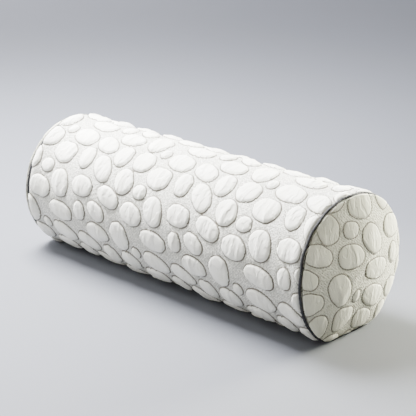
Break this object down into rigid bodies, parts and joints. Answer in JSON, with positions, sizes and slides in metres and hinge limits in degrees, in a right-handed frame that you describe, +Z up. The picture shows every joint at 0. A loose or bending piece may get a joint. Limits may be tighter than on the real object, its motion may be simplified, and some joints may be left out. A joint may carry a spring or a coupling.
{
  "type": "bolster pillow",
  "caption": "Round bolster pillow: pebble-quilted knit cover with piped, domed ends, a lengthwise back zip with slider and pull tab, and a lined foam core.",
  "frame": {"origin": "on the floor, under the middle of the bolster, at the bottom centre of its box", "axes": "+X along the bolster towards the end where the zip closes, +Y towards the back, where the zip is, and +Z up"},
  "size_m": [0.4276, 0.1516, 0.1424],
  "materials": {
    "quilted_knit": "ivory jacquard knit, puffed pebbles on a pin-hole mesh ground, matt",
    "piping_cloth": "charcoal woven bias strip, slight sheen",
    "filler_cord": "undyed twisted cotton cord",
    "liner_cloth": "thin white plain-woven cloth",
    "core_foam": "open-cell memory foam, cream",
    "zip_tape": "ivory woven polyester tape",
    "zip_nylon": "ivory nylon monofilament, semi-gloss",
    "zip_metal": "nickel-plated zinc, satin",
    "label_satin": "blank white satin ribbon"
  },
  "bodies": {
    "pillow": {"cover_body_panel": "quilted_knit", "cover_end_panel_right": "quilted_knit", "cover_end_panel_left": "quilted_knit", "piping_sleeve_right": "piping_cloth", "piping_sleeve_left": "piping_cloth", "piping_cord_right": "filler_cord", "piping_cord_left": "filler_cord", "zip_tape_upper": "zip_tape", "zip_tape_lower": "zip_tape", "zip_coil_upper": "zip_nylon", "zip_coil_lower": "zip_nylon", "zip_top_stop_upper": "zip_metal", "zip_top_stop_lower": "zip_metal", "zip_bottom_stop": "zip_metal", "liner_body": "liner_cloth", "liner_end_right": "liner_cloth", "liner_end_left": "liner_cloth", "foam_core": "core_foam", "care_label": "label_satin"},
    "zip_slider": {"zip_slider_body": "zip_metal"},
    "pull_tab": {"zip_pull_tab": "zip_metal"}
  },
  "joints": [
    {"name": "zip_slide", "type": "slide", "parent": "pillow", "child": "zip_slider", "axis": [-1, 0, 0], "range_m": [0, 0.278]},
    {"name": "pull_tab_hinge", "type": "hinge", "parent": "zip_slider", "child": "pull_tab", "pos_m": [0.139, 0.07254, 0.093], "axis": [0, 0.342, -0.9397], "range_deg": [0, 180]}
  ]
}
